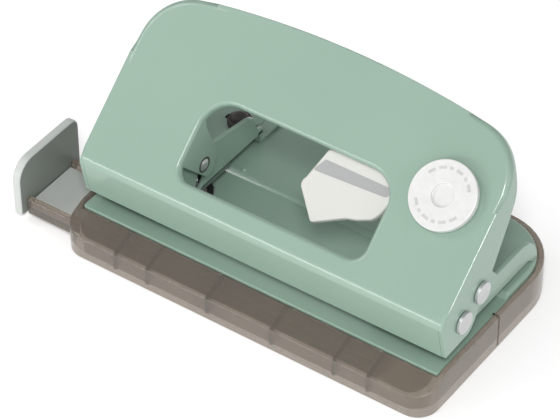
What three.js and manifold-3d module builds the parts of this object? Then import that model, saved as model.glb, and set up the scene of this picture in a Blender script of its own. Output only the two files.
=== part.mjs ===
// Two-hole desk punch, in millimetres.
// X runs along the punch, towards the lock knob. Y runs from the paper side to the hand side. +Z is up.
// The origin is the middle of the tray's underside. Inside the assembly group, Y is measured from the
// front wall of the tray, so that the paper stop and the punch line can be read as depths.
import * as THREE from 'three';
import { mergeVertices } from 'three/addons/utils/BufferGeometryUtils.js';
import Module from 'manifold-3d';

// Hole pattern: two 6 mm holes, 80 mm apart, 12 mm from the edge of the sheet.
const HOLE_PITCH = 80;
const HOLE_RADIUS = 3;
const EDGE_MARGIN = 12;

// Chip tray.
const TRAY_HALF = 66.3;
const TRAY_DEPTH = 79.6;
const TRAY_FRONT_RADIUS = 8;
const TRAY_REAR_RADIUS = 21;
const TRAY_RIM_Z = 10.3;
const TRAY_FRONT_Z = 8;
const TRAY_SIDE_Z = 12.4;
const TRAY_RAMP = 0.378;
const TRAY_WALL = 3;
const TRAY_FLOOR = 1.8;
const TRAY_RAMP_SKIN = 1.6;
const RIB_THICKNESS = 1.2;
const RIB_DEPTH = 3;
const RIB_X = [11.7, 34, 46];
const SIDE_GROOVE = { y: 39.2, width: 0.5, depth: 0.6 };

// Base plate: one pressed sheet, low under the paper and raised behind the paper stop.
const PLATE_HALF = 64.3;
const PLATE_FRONT_Y = 9.3;
const PLATE_REAR_Y = 77.2;
const PLATE_SHEET = 1.6;
const DIE_DECK_Z = 12;
const PLATFORM_Z = 14;
const STOP_Y = 46.6;
const PUNCH_Y = STOP_Y - EDGE_MARGIN;
const PLATE_REAR_RADIUS = 18.8;
const SKIRT_Z = TRAY_RIM_Z + 0.3;
const DIE_BOSS_RADIUS = 5.2;
const DIE_LOW_Z = 8.4;

// Handle: one folded sheet. Its plate starts at the front bend and climbs at SLOPE.
const SHEET = 1.4;
const SLOPE = THREE.MathUtils.degToRad(40.9);
const BEND = { y: 9.3, z: 30.2 };
const HANDLE_HALF = 65.2;
const HANDLE_SIDE_LENGTH = 42;
const HANDLE_CORNER = 17;
const HANDLE_BOW = 7.2;
const RIM_DEPTH = 4;
const FLANGE_FOOT = { y: 12.1, z: 16.3 };
const WINDOW = { half: 33, low: 7.1, high: 33.8, lowRadius: 4.6, highRadius: 9 };
const WINDOW_RIM = 2.6;
const INNER_EAR_X = 33;

// Pivot and drive pin. The drive pin goes round the pivot on a 10.4 mm radius.
const PIVOT = { y: 20.4, z: 24.4 };
const DRIVE_RADIUS = 10.4;
const DRIVE_ANGLE = THREE.MathUtils.degToRad(26.3);
const HANDLE_TRAVEL = THREE.MathUtils.degToRad(50);
const PIN_CLEARANCE = 0.3;
const DRIVE = {
  y: PIVOT.y + DRIVE_RADIUS * Math.cos(DRIVE_ANGLE),
  z: PIVOT.z + DRIVE_RADIUS * Math.sin(DRIVE_ANGLE),
};
const PIVOT_PIN_RADIUS = 2;
const DRIVE_PIN_RADIUS = 1.6;
const PIN_HEAD_RADIUS = 3.6;
const PIN_HEAD = 1.2;

// Brackets: an open channel with two ears, over the paper slot.
const BRACKET_SHEET = 1.4;
const BRACKET_INNER_X = 35.2;
const BRACKET_OUTER_X = 62.8;
const WEB_Z = 19.3;
const WEB_FRONT_Y = 39.5;
const WEB_REAR_Y = 63;
const FOOT_REAR_Y = 72.5;
const FOOT_OUTER_X = 48.5;
const SLOT_TOP_Z = 16.2;
const FOOT_GAP = 0.3;
const GUIDE_TOP_Z = 17.6;
const GUIDE_FRONT_Y = 18;
const GUIDE_REAR_Y = 46;

// Rivets and rubber stops, for the right-hand side.
const FOOT_RIVET = { x: 42, y: 68.4, radius: 1.6, hole: 1.9 };
const GUIDE_RIVET = { x: 49, y: 42.4, radius: 1.2, hole: 1.5 };
const BUMPER = { x: 41.6, y: 59.2, radius: 3.6, stem: 1.6, hole: 1.9 };

// Punch pins.
const PUNCH_TIP_Z = 17.3;
const PUNCH_HEAD_HALF = 2.4;
const PUNCH_HEAD_FRONT_Y = 26.4;
const PUNCH_HEAD_REACH = 2.6;
const PUNCH_HEAD_WIDTH = 5.4;

// Edge gauge: a channel that slides in the tray, drawn out 18 mm.
const GAUGE_FACE_X = -83.5;
const GAUGE_INNER_X = 46;
const GAUGE_FRONT_Y = 5;
const GAUGE_REAR_Y = 29;
const GAUGE_LOW_Z = 2.2;
const GAUGE_HIGH_Z = 7.9;
const GAUGE_WALL = 2.2;
const GAUGE_FLOOR_Z = 4.2;
const GAUGE_STRIP = { low: 4.5, high: 5.9 };
const GAUGE_FACE = { front: 2.4, rear: 32, low: 2.2, high: 22.3, thickness: 2.9 };

// Lock: a knob on the handle plate turns a lever under it.
const KNOB = { x: 48.8, s: 34.6, radius: 10.4, height: 2.2, stem: 2.6, hole: 3.3, arm: 5.6 };
const LEVER_TOP = -3.1;
const LEVER_THICKNESS = 3;
const LEVER_HOLE = 2.9;
const CLIP = { low: -7.2, high: -6.6, radius: 4, hole: 1.9 };

const ARC_STEPS = 10;
const ROUND = 32;
// A height or reach that is past the whole punch, for cutting tools.
const OVER = 100;

const material = (name, color, roughness, metalness = 0, opacity = 1) => {
  const made = new THREE.MeshStandardMaterial({ color, roughness, metalness, opacity });
  made.name = name;
  made.transparent = opacity < 1;
  return made;
};
const GREEN = () => material('green_enamel', 0x9fb9aa, 0.42, 0.1);
const STEEL = () => material('bright_steel', 0xc9cacb, 0.28, 0.9);
const DARK_STEEL = () => material('tool_steel', 0x8b8f92, 0.35, 0.9);
const SMOKE = () => material('smoked_plastic', 0x6f655c, 0.3, 0, 0.85);
const GREY = () => material('light_grey_plastic', 0xc9ccc6, 0.5);
const WHITE = () => material('white_plastic', 0xe9e8e3, 0.45);
const RUBBER = () => material('black_rubber', 0x2b2626, 0.8);

const wasm = await Module();
wasm.setup();

// ---- helpers ---------------------------------------------------------------

function toSolid(geometry, matrix) {
  let bare = geometry.clone();
  bare.deleteAttribute('normal');
  bare.deleteAttribute('uv');
  if (matrix) bare.applyMatrix4(matrix);
  bare = mergeVertices(bare, 1e-4);
  return new wasm.Manifold(new wasm.Mesh({
    numProp: 3,
    vertProperties: new Float32Array(bare.attributes.position.array),
    triVerts: new Uint32Array(bare.index.array),
  }));
}

function toGeometry(solid) {
  const mesh = solid.getMesh();
  const geometry = new THREE.BufferGeometry();
  geometry.setAttribute('position', new THREE.BufferAttribute(new Float32Array(mesh.vertProperties), 3));
  geometry.setIndex(new THREE.BufferAttribute(new Uint32Array(mesh.triVerts), 1));
  geometry.computeVertexNormals();
  return geometry;
}

function named(name, geometry, look) {
  const mesh = new THREE.Mesh(geometry, look);
  mesh.name = name;
  return mesh;
}

const shapeOf = (points) => new THREE.Shape(points.map(([a, b]) => new THREE.Vector2(a, b)));

// A shape drawn in the XY plane, from z = low to z = high.
function slab(shape, low, high) {
  const geometry = new THREE.ExtrudeGeometry(shape, {
    depth: high - low, bevelEnabled: false, curveSegments: ARC_STEPS,
  });
  geometry.translate(0, 0, low);
  return geometry;
}

// A shape drawn in the YZ plane, from x = near to x = far.
function sideSlab(shape, near, far) {
  const geometry = new THREE.ExtrudeGeometry(shape, {
    depth: far - near, bevelEnabled: false, curveSegments: ARC_STEPS,
  });
  const basis = new THREE.Matrix4().makeBasis(
    new THREE.Vector3(0, 1, 0), new THREE.Vector3(0, 0, 1), new THREE.Vector3(1, 0, 0));
  geometry.applyMatrix4(basis);
  geometry.translate(near, 0, 0);
  return geometry;
}

// A round pin along X at (y, z).
function crossPin(radius, near, far, y, z, sides = ROUND) {
  const geometry = new THREE.CylinderGeometry(radius, radius, far - near, sides);
  geometry.rotateZ(Math.PI / 2);
  geometry.translate((near + far) / 2, y, z);
  return geometry;
}

// A round post along Z at (x, y).
function post(radius, low, high, x, y, sides = ROUND) {
  const geometry = new THREE.CylinderGeometry(radius, radius, high - low, sides);
  geometry.rotateX(Math.PI / 2);
  geometry.translate(x, y, (low + high) / 2);
  return geometry;
}

function block(x0, x1, y0, y1, z0, z1) {
  const geometry = new THREE.BoxGeometry(x1 - x0, y1 - y0, z1 - z0);
  geometry.translate((x0 + x1) / 2, (y0 + y1) / 2, (z0 + z1) / 2);
  return geometry;
}

// A rectangle with its own radius on the low and the high pair of corners.
function roundedRect(halfWidth, low, high, lowRadius, highRadius) {
  const shape = new THREE.Shape();
  shape.moveTo(-halfWidth + lowRadius, low);
  shape.lineTo(halfWidth - lowRadius, low);
  shape.absarc(halfWidth - lowRadius, low + lowRadius, lowRadius, -Math.PI / 2, 0, false);
  shape.lineTo(halfWidth, high - highRadius);
  shape.absarc(halfWidth - highRadius, high - highRadius, highRadius, 0, Math.PI / 2, false);
  shape.lineTo(-halfWidth + highRadius, high);
  shape.absarc(-halfWidth + highRadius, high - highRadius, highRadius, Math.PI / 2, Math.PI, false);
  shape.lineTo(-halfWidth, low + lowRadius);
  shape.absarc(-halfWidth + lowRadius, low + lowRadius, lowRadius, Math.PI, 1.5 * Math.PI, false);
  return shape;
}

const mirrored = (solid) => solid.mirror([1, 0, 0]);

// ---- base ------------------------------------------------------------------

function basePlate() {
  const low = DIE_DECK_Z - PLATE_SHEET;
  const profile = shapeOf([
    [PLATE_FRONT_Y, low], [STOP_Y, low], [STOP_Y + 1.4, PLATFORM_Z - PLATE_SHEET],
    [PLATE_REAR_Y, PLATFORM_Z - PLATE_SHEET], [PLATE_REAR_Y, PLATFORM_Z],
    [STOP_Y, PLATFORM_Z], [STOP_Y, DIE_DECK_Z], [PLATE_FRONT_Y, DIE_DECK_Z],
  ]);
  const outline = roundedRect(PLATE_HALF, PLATE_FRONT_Y, PLATE_REAR_Y, 1.5, PLATE_REAR_RADIUS);
  const within = roundedRect(PLATE_HALF - PLATE_SHEET, PLATE_FRONT_Y + PLATE_SHEET,
    PLATE_REAR_Y - PLATE_SHEET, 1, PLATE_REAR_RADIUS - PLATE_SHEET);
  const sheet = toSolid(sideSlab(profile, -PLATE_HALF - 1, PLATE_HALF + 1))
    .intersect(toSolid(slab(outline, 0, PLATFORM_Z + 1)));
  const skirt = toSolid(slab(outline, SKIRT_Z, PLATFORM_Z - 0.4))
    .subtract(toSolid(slab(within, 0, PLATFORM_Z + 1)))
    .intersect(toSolid(block(-OVER, OVER, STOP_Y + 0.5, OVER, 0, OVER)));
  let plate = sheet.add(skirt);
  for (const side of [-1, 1]) {
    plate = plate.subtract(toSolid(post(DIE_BOSS_RADIUS + 0.3, 0, OVER, side * HOLE_PITCH / 2, PUNCH_Y)));
    plate = plate.subtract(toSolid(post(FOOT_RIVET.hole, 0, OVER, side * FOOT_RIVET.x, FOOT_RIVET.y, 16)));
  }
  return named('base_plate', toGeometry(plate), GREEN());
}

function die(name, side) {
  const ring = toSolid(post(DIE_BOSS_RADIUS, DIE_LOW_Z, DIE_DECK_Z, side * HOLE_PITCH / 2, PUNCH_Y))
    .subtract(toSolid(post(HOLE_RADIUS + 0.2, 0, OVER, side * HOLE_PITCH / 2, PUNCH_Y)));
  return named(name, toGeometry(ring), DARK_STEEL());
}

// The slot that lets the drive pin swing round the pivot.
function driveSlot(near, far) {
  const clear = DRIVE_PIN_RADIUS + PIN_CLEARANCE;
  const lead = 0.02;
  const start = DRIVE_ANGLE - HANDLE_TRAVEL - lead;
  const end = DRIVE_ANGLE + lead;
  const shape = new THREE.Shape();
  shape.absarc(PIVOT.y, PIVOT.z, DRIVE_RADIUS + clear, start, end, false);
  shape.absarc(PIVOT.y + DRIVE_RADIUS * Math.cos(end), PIVOT.z + DRIVE_RADIUS * Math.sin(end),
    clear, end, end + Math.PI, false);
  shape.absarc(PIVOT.y, PIVOT.z, DRIVE_RADIUS - clear, end, start, true);
  shape.absarc(PIVOT.y + DRIVE_RADIUS * Math.cos(start), PIVOT.z + DRIVE_RADIUS * Math.sin(start),
    clear, start + Math.PI, start + 2 * Math.PI, false);
  return sideSlab(shape, near, far);
}

// Ears seen from the side, as (y, z).
// The lock lever sweeps over the inner ear of the knob side, so that one is low.
function innerEar(relieved) {
  const top = relieved
    ? [[59, 22], [56, 22.8], [44, 24.4], [40, 30.6], [30, 32.8]]
    : [[59.2, 23], [58.3, 26.4], [55.6, 28], [38.6, 31], [30, 32.8]];
  return shapeOf([
    [15.8, 19.5], [17.4, WEB_Z - BRACKET_SHEET], [WEB_REAR_Y, WEB_Z - BRACKET_SHEET],
    [WEB_REAR_Y, WEB_Z], [59.2, WEB_Z], ...top, [22, 32.5], [15.8, 28.5],
  ]);
}

function outerEar() {
  return shapeOf([
    [15.6, SLOT_TOP_Z], [62.4, SLOT_TOP_Z], [64.4, 14.6], [67.4, 14.6], [66.4, 17], [63.6, 21.4],
    [60.4, 23.7], [57.5, 24.4], [43, 24.5], [38.6, 30], [30, 32.8], [22, 32.5], [15.6, 28.5],
  ]);
}

function bracket(name, side) {
  const outerFace = BRACKET_OUTER_X - BRACKET_SHEET;
  const footZ = PLATFORM_Z + FOOT_GAP;
  const foot = shapeOf([
    [WEB_REAR_Y - 2 * BRACKET_SHEET, WEB_Z - BRACKET_SHEET],
    [WEB_REAR_Y - BRACKET_SHEET, WEB_Z - BRACKET_SHEET],
    [WEB_REAR_Y - BRACKET_SHEET, footZ], [FOOT_REAR_Y, footZ],
    [FOOT_REAR_Y, footZ + BRACKET_SHEET], [WEB_REAR_Y, footZ + BRACKET_SHEET],
    [WEB_REAR_Y, WEB_Z], [WEB_REAR_Y - 2 * BRACKET_SHEET, WEB_Z],
  ]);
  const web = block(BRACKET_INNER_X, BRACKET_OUTER_X, WEB_FRONT_Y, WEB_REAR_Y, WEB_Z - BRACKET_SHEET, WEB_Z);
  let solid = toSolid(web)
    .add(toSolid(sideSlab(foot, BRACKET_INNER_X, FOOT_OUTER_X)))
    .add(toSolid(sideSlab(innerEar(side > 0), BRACKET_INNER_X, BRACKET_INNER_X + BRACKET_SHEET)))
    .add(toSolid(sideSlab(outerEar(), outerFace, BRACKET_OUTER_X)));
  solid = solid.subtract(toSolid(driveSlot(BRACKET_INNER_X - 2, BRACKET_OUTER_X + 2)));
  solid = solid.subtract(toSolid(crossPin(PIVOT_PIN_RADIUS + PIN_CLEARANCE, 0, OVER, PIVOT.y, PIVOT.z)));
  for (const fixing of [FOOT_RIVET, GUIDE_RIVET, BUMPER]) {
    solid = solid.subtract(toSolid(post(fixing.hole, 0, OVER, fixing.x, fixing.y, 16)));
  }
  return named(name, toGeometry(side > 0 ? solid : mirrored(solid)), GREEN());
}

function guidePlate(name, side) {
  const plate = toSolid(block(BRACKET_INNER_X + 0.2, BRACKET_OUTER_X - 1.7, GUIDE_FRONT_Y,
    GUIDE_REAR_Y, SLOT_TOP_Z, GUIDE_TOP_Z))
    .subtract(toSolid(post(HOLE_RADIUS + PIN_CLEARANCE, 0, OVER, HOLE_PITCH / 2, PUNCH_Y)))
    .subtract(toSolid(post(GUIDE_RIVET.hole, 0, OVER, GUIDE_RIVET.x, GUIDE_RIVET.y, 16)));
  return named(name, toGeometry(side > 0 ? plate : mirrored(plate)), DARK_STEEL());
}

// A headed rivet or stud, turned about Z.
function turned(name, profile, x, y, z, look, sides = 24) {
  const geometry = new THREE.LatheGeometry(profile.map(([r, h]) => new THREE.Vector2(r, h)), sides);
  geometry.rotateX(Math.PI / 2);
  geometry.translate(x, y, z);
  return named(name, toGeometry(toSolid(geometry)), look);
}

const guideRivet = (name, side) => turned(name, [
  [0, SLOT_TOP_Z + 0.1], [GUIDE_RIVET.radius, SLOT_TOP_Z + 0.1], [GUIDE_RIVET.radius, WEB_Z + 0.3],
  [2.6, WEB_Z + 0.3], [2.4, WEB_Z + 1], [0, WEB_Z + 1.4],
], side * GUIDE_RIVET.x, GUIDE_RIVET.y, 0, STEEL());

const bracketRivet = (name, side) => turned(name, [
  [0, 11.2], [FOOT_RIVET.radius, 11.2], [FOOT_RIVET.radius, 16], [3.2, 16], [2.9, 16.8], [0, 17.2],
], side * FOOT_RIVET.x, FOOT_RIVET.y, 0, STEEL());

const bumper = (name, side) => turned(name, [
  [0, WEB_Z - 1.2], [BUMPER.stem, WEB_Z - 1.2], [BUMPER.stem, WEB_Z + 0.3], [BUMPER.radius, WEB_Z + 0.3],
  [BUMPER.radius, WEB_Z + 2.2], [2.9, WEB_Z + 3.4], [1.6, WEB_Z + 4], [0, WEB_Z + 4.1],
], side * BUMPER.x, BUMPER.y, 0, RUBBER());

function pivotPin(name, side) {
  const head = HANDLE_HALF + 0.3;
  const inner = BRACKET_INNER_X - 0.3;
  const pin = toSolid(crossPin(PIVOT_PIN_RADIUS, inner, head + PIN_HEAD / 2, PIVOT.y, PIVOT.z))
    .add(toSolid(crossPin(PIN_HEAD_RADIUS, head, head + PIN_HEAD, PIVOT.y, PIVOT.z)));
  return named(name, toGeometry(side > 0 ? pin : mirrored(pin)), STEEL());
}

// ---- tray and gauge --------------------------------------------------------

function chipTray() {
  const outline = roundedRect(TRAY_HALF, 0, TRAY_DEPTH, TRAY_FRONT_RADIUS, TRAY_REAR_RADIUS);
  const within = roundedRect(TRAY_HALF - TRAY_WALL, 1.8, TRAY_DEPTH - TRAY_WALL,
    TRAY_FRONT_RADIUS - 1.8, TRAY_REAR_RADIUS - TRAY_WALL);
  const lipY = PLATE_FRONT_Y - 0.3;
  const lipZ = TRAY_FRONT_Z + lipY * TRAY_RAMP;
  const seat = roundedRect(PLATE_HALF + 0.3, lipY, PLATE_REAR_Y + 0.3, 1.5, PLATE_REAR_RADIUS + 0.3);
  const body = shapeOf([
    [0, 0], [TRAY_DEPTH, 0], [TRAY_DEPTH, TRAY_SIDE_Z],
    [(TRAY_SIDE_Z - TRAY_FRONT_Z) / TRAY_RAMP, TRAY_SIDE_Z], [0, TRAY_FRONT_Z],
  ]);
  const hollow = shapeOf([
    [0, TRAY_FLOOR], [TRAY_DEPTH, TRAY_FLOOR], [TRAY_DEPTH, OVER], [lipY, OVER],
    [lipY, lipZ - TRAY_RAMP_SKIN], [0, TRAY_FRONT_Z - TRAY_RAMP_SKIN],
  ]);
  const wide = TRAY_HALF + 5;
  let tray = toSolid(slab(outline, 0, 20)).intersect(toSolid(sideSlab(body, -wide, wide)));
  const cavity = toSolid(slab(within, 0, OVER)).intersect(toSolid(sideSlab(hollow, -wide, wide)));
  tray = tray.subtract(cavity).subtract(toSolid(slab(seat, TRAY_RIM_Z - 0.2, OVER)));
  const rib = shapeOf([
    [1, 1], [1.8 + RIB_DEPTH, 1], [1.8 + RIB_DEPTH, 8], [lipY, 9.6], [lipY, 10.4], [1, 7],
  ]);
  for (const x of RIB_X) {
    for (const side of [-1, 1]) {
      const middle = side * x;
      tray = tray.add(toSolid(sideSlab(rib, middle - RIB_THICKNESS / 2, middle + RIB_THICKNESS / 2)));
    }
  }
  for (const side of [-1, 1]) {
    const far = side * TRAY_HALF;
    const { y, width, depth } = SIDE_GROOVE;
    tray = tray.subtract(toSolid(block(far - depth, far + depth, y, y + width, -1, OVER)));
  }
  const passage = block(-TRAY_HALF - 2, -TRAY_HALF + 5, GAUGE_FRONT_Y - 0.3, GAUGE_REAR_Y + 0.3,
    TRAY_FLOOR, GAUGE_HIGH_Z + 0.4);
  tray = tray.subtract(toSolid(passage));
  return named('chip_tray', toGeometry(tray), SMOKE());
}

function gaugeChannel() {
  const section = shapeOf([
    [GAUGE_FRONT_Y, GAUGE_LOW_Z], [GAUGE_REAR_Y, GAUGE_LOW_Z], [GAUGE_REAR_Y, GAUGE_HIGH_Z],
    [GAUGE_REAR_Y - GAUGE_WALL, GAUGE_HIGH_Z], [GAUGE_REAR_Y - GAUGE_WALL, GAUGE_FLOOR_Z],
    [GAUGE_FRONT_Y + GAUGE_WALL, GAUGE_FLOOR_Z], [GAUGE_FRONT_Y + GAUGE_WALL, GAUGE_HIGH_Z],
    [GAUGE_FRONT_Y, GAUGE_HIGH_Z],
  ]);
  return named('gauge_channel', toGeometry(toSolid(sideSlab(section, GAUGE_FACE_X + 0.3, GAUGE_INNER_X))),
    SMOKE());
}

function gaugeScale() {
  const edge = GAUGE_WALL + 0.3;
  const strip = block(GAUGE_FACE_X + 0.3, GAUGE_INNER_X - 2, GAUGE_FRONT_Y + edge, GAUGE_REAR_Y - edge,
    GAUGE_STRIP.low, GAUGE_STRIP.high);
  return named('gauge_scale', toGeometry(toSolid(strip)), GREY());
}

function gaugeEndPlate() {
  const shape = new THREE.Shape();
  const face = GAUGE_FACE;
  shape.moveTo(face.front + 0.8, face.low);
  shape.lineTo(face.rear - 0.8, face.low);
  shape.lineTo(face.rear, face.low + 0.8);
  shape.lineTo(face.rear, face.high - 3.4);
  shape.absarc(face.rear - 3.4, face.high - 3.4, 3.4, 0, Math.PI / 2, false);
  shape.lineTo(face.front + 9.6, face.high);
  shape.quadraticCurveTo(face.front, face.high - 0.6, face.front, face.high - 6.4);
  shape.lineTo(face.front, face.low + 0.8);
  const solid = toSolid(sideSlab(shape, GAUGE_FACE_X - face.thickness, GAUGE_FACE_X));
  return named('gauge_end_plate', toGeometry(solid), GREY());
}

// ---- handle ----------------------------------------------------------------

// The plate's own frame: X, distance s up the slope from the bend, and height over the outer face.
const plateFrame = new THREE.Matrix4()
  .makeTranslation(0, BEND.y, BEND.z)
  .multiply(new THREE.Matrix4().makeRotationX(SLOPE));

function handleOutline(inset, start = inset) {
  const half = HANDLE_HALF - inset;
  const corner = HANDLE_CORNER - inset;
  const cornerX = HANDLE_HALF - HANDLE_CORNER;
  const shape = new THREE.Shape();
  shape.moveTo(-half, start);
  shape.lineTo(half, start);
  shape.lineTo(half, HANDLE_SIDE_LENGTH);
  shape.absarc(cornerX, HANDLE_SIDE_LENGTH, corner, 0, Math.PI / 2, false);
  shape.quadraticCurveTo(0, HANDLE_SIDE_LENGTH + corner + HANDLE_BOW, -cornerX, HANDLE_SIDE_LENGTH + corner);
  shape.absarc(-cornerX, HANDLE_SIDE_LENGTH, corner, Math.PI / 2, Math.PI, false);
  return shape;
}

// The side cheek, seen from the side as (y, z): deep at the pivot and tapering up to the rim.
function cheek() {
  return shapeOf([
    [BEND.y, BEND.z], [FLANGE_FOOT.y, FLANGE_FOOT.z], [23.7, 16.6], [26.4, 18.4], [28.8, 21.8], [37.1, 33.4],
    [41.9, 41.9], [46.6, 50.3], [48.8, 56.8], [49.2, 63],
  ]);
}

function handle() {
  const plate = toSolid(slab(handleOutline(0), -SHEET, 0), plateFrame);
  const rim = toSolid(slab(handleOutline(0), -RIM_DEPTH, 0), plateFrame)
    .subtract(toSolid(slab(handleOutline(SHEET), -RIM_DEPTH - 1, 1), plateFrame));
  const lean = Math.atan2(FLANGE_FOOT.y - BEND.y, BEND.z - FLANGE_FOOT.z);
  const thick = SHEET / Math.cos(lean);
  const front = shapeOf([
    [BEND.y, BEND.z], [FLANGE_FOOT.y, FLANGE_FOOT.z], [FLANGE_FOOT.y + thick, FLANGE_FOOT.z],
    [BEND.y + thick + 0.6, BEND.z - 0.2],
  ]);
  const earShape = shapeOf([
    [17.6, 35], [27.2, 25.6], [28.4, 23.9], [31.2, 23], [34, 24], [35.6, 27.4], [36, 31.5],
    [31, 44.4], [30.4, 46.6], [16, 34.4],
  ]);
  let solid = plate.add(rim).add(toSolid(sideSlab(front, -HANDLE_HALF, HANDLE_HALF)));
  for (const side of [-1, 1]) {
    const near = side > 0 ? HANDLE_HALF - SHEET : -HANDLE_HALF;
    const cheekWall = toSolid(sideSlab(cheek(), near, near + SHEET))
      .intersect(toSolid(slab(handleOutline(0, -20), -60, 0), plateFrame));
    solid = solid.add(cheekWall);
  }
  const open = WINDOW;
  const windowShape = roundedRect(open.half, open.low, open.high, open.lowRadius, open.highRadius);
  const windowRim = roundedRect(open.half + SHEET, open.low - SHEET, open.high + SHEET,
    open.lowRadius + SHEET, open.highRadius + SHEET);
  solid = solid.add(toSolid(slab(windowRim, -WINDOW_RIM, 0), plateFrame))
    .subtract(toSolid(slab(windowShape, -WINDOW_RIM - 1, 1), plateFrame));
  for (const side of [-1, 1]) {
    const near = side > 0 ? INNER_EAR_X : -INNER_EAR_X - SHEET;
    const ear = toSolid(sideSlab(earShape, near, near + SHEET))
      .subtract(toSolid(slab(handleOutline(0), -0.1, 30), plateFrame));
    solid = solid.add(ear);
  }
  const knobHole = post(KNOB.hole, -10, 5, KNOB.x, KNOB.s, 24);
  solid = solid.subtract(toSolid(knobHole, plateFrame));
  solid = solid.subtract(toSolid(crossPin(PIVOT_PIN_RADIUS + PIN_CLEARANCE, -OVER, OVER, PIVOT.y, PIVOT.z)));
  solid = solid.subtract(toSolid(crossPin(DRIVE_PIN_RADIUS + PIN_CLEARANCE, -OVER, OVER, DRIVE.y, DRIVE.z)));
  return named('handle', toGeometry(solid), GREEN());
}

function drivePin(name, side) {
  const head = HANDLE_HALF + 0.3;
  const pin = toSolid(crossPin(DRIVE_PIN_RADIUS, INNER_EAR_X - 0.8, head + PIN_HEAD / 2, DRIVE.y, DRIVE.z))
    .add(toSolid(crossPin(PIN_HEAD_RADIUS, head, head + PIN_HEAD, DRIVE.y, DRIVE.z)));
  return named(name, toGeometry(side > 0 ? pin : mirrored(pin)), STEEL());
}

// A torsion spring round the pivot pin, with one leg under the drive pin and one forward.
function returnSpring(name, side) {
  const coilRadius = 3.2;
  const wire = 0.5;
  const turns = 4;
  const pitch = 1.3;
  const startX = 50;
  const points = [new THREE.Vector3(startX, PIVOT.y - 6.4, PIVOT.z - 4.4)];
  const stepsPerTurn = 16;
  const first = -1.9;
  const last = turns * 2 * Math.PI + 0.45;
  for (let swept = 0; swept <= last; swept += (2 * Math.PI) / stepsPerTurn) {
    points.push(new THREE.Vector3(startX + 0.2 + (swept / (2 * Math.PI)) * pitch,
      PIVOT.y + coilRadius * Math.cos(first + swept), PIVOT.z + coilRadius * Math.sin(first + swept)));
  }
  points.push(new THREE.Vector3(startX + 0.4 + turns * pitch, DRIVE.y - 1.2, DRIVE.z - 3.4));
  const path = new THREE.CatmullRomCurve3(points, false, 'centripetal');
  const section = new THREE.Shape();
  section.absarc(0, 0, wire, 0, 2 * Math.PI, false);
  const geometry = new THREE.ExtrudeGeometry(section, {
    steps: 74, extrudePath: path, curveSegments: 3, bevelEnabled: false,
  });
  const solid = toSolid(geometry);
  return named(name, toGeometry(side > 0 ? solid : mirrored(solid)), STEEL());
}

// ---- punch pins ------------------------------------------------------------

function punchPin(name, side) {
  const x = HOLE_PITCH / 2;
  const top = DRIVE.z + PUNCH_HEAD_HALF + 0.6;
  const slot = DRIVE_PIN_RADIUS + 0.2;
  const headShape = new THREE.Shape();
  headShape.moveTo(PUNCH_HEAD_FRONT_Y, DRIVE.z - PUNCH_HEAD_HALF);
  headShape.lineTo(PUNCH_Y + PUNCH_HEAD_REACH, DRIVE.z - PUNCH_HEAD_HALF);
  headShape.lineTo(PUNCH_Y + PUNCH_HEAD_REACH, top);
  headShape.lineTo(PUNCH_HEAD_FRONT_Y, top);
  let pin = toSolid(sideSlab(headShape, x - PUNCH_HEAD_WIDTH / 2, x + PUNCH_HEAD_WIDTH / 2))
    .add(toSolid(post(HOLE_RADIUS - 0.05, PUNCH_TIP_Z, top - 1, x, PUNCH_Y)));
  const reach = DRIVE_RADIUS * (1 - Math.cos(DRIVE_ANGLE));
  pin = pin.subtract(toSolid(block(x - 9, x + 9, DRIVE.y - slot - 0.2, DRIVE.y + reach + slot + 0.1,
    DRIVE.z - slot, DRIVE.z + slot)));
  pin = pin.subtract(toSolid(crossPin(2.2, x - 6, x + 6, PUNCH_Y, PUNCH_TIP_Z - 1.2)));
  return named(name, toGeometry(side > 0 ? pin : mirrored(pin)), DARK_STEEL());
}

// ---- lock ------------------------------------------------------------------

function lockKnob() {
  const { x, s, radius, height, stem } = KNOB;
  const profile = [
    [0, -7.6], [1.6, -7.6], [1.6, -6.3], [stem, -6.3], [stem, 0.3], [radius, 0.3], [radius, height + 0.3],
    [radius - 0.4, height + 0.7], [3.7, height + 0.7], [3.4, height], [0, height],
  ];
  const geometry = new THREE.LatheGeometry(profile.map(([r, h]) => new THREE.Vector2(r, h)), 48);
  geometry.rotateX(Math.PI / 2);
  geometry.translate(x, s, 0);
  return named('lock_knob', toGeometry(toSolid(geometry, plateFrame)), WHITE());
}

function lockLever() {
  const arm = new THREE.Shape();
  arm.moveTo(KNOB.x, KNOB.s - KNOB.arm);
  arm.absarc(KNOB.x, KNOB.s, KNOB.arm, -Math.PI / 2, Math.PI / 2, false);
  arm.lineTo(24, 36.6);
  arm.lineTo(9.4, 34.4);
  arm.absarc(9.2, 31.4, 3, 1.5, 2.4, false);
  arm.lineTo(3.9, 23.4);
  arm.absarc(5.8, 21.6, 2.4, 2.4, 3.7, false);
  arm.lineTo(10.6, 12.4);
  arm.lineTo(12, 12.1);
  arm.lineTo(21.6, 17.2);
  arm.lineTo(25.4, 18.2);
  arm.absarc(24, 26, 8, -0.9, -0.1, false);
  arm.lineTo(36, 29.4);
  const lever = toSolid(slab(arm, LEVER_TOP - LEVER_THICKNESS, LEVER_TOP), plateFrame)
    .subtract(toSolid(post(LEVER_HOLE, -OVER, OVER, KNOB.x, KNOB.s, 24), plateFrame));
  return named('lock_lever', toGeometry(lever), WHITE());
}

function lockClip() {
  const clip = toSolid(post(CLIP.radius, CLIP.low, CLIP.high, KNOB.x, KNOB.s, 24), plateFrame)
    .subtract(toSolid(post(CLIP.hole, -OVER, OVER, KNOB.x, KNOB.s, 16), plateFrame));
  return named('lock_clip', toGeometry(clip), STEEL());
}

// ---- assembly --------------------------------------------------------------

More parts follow.
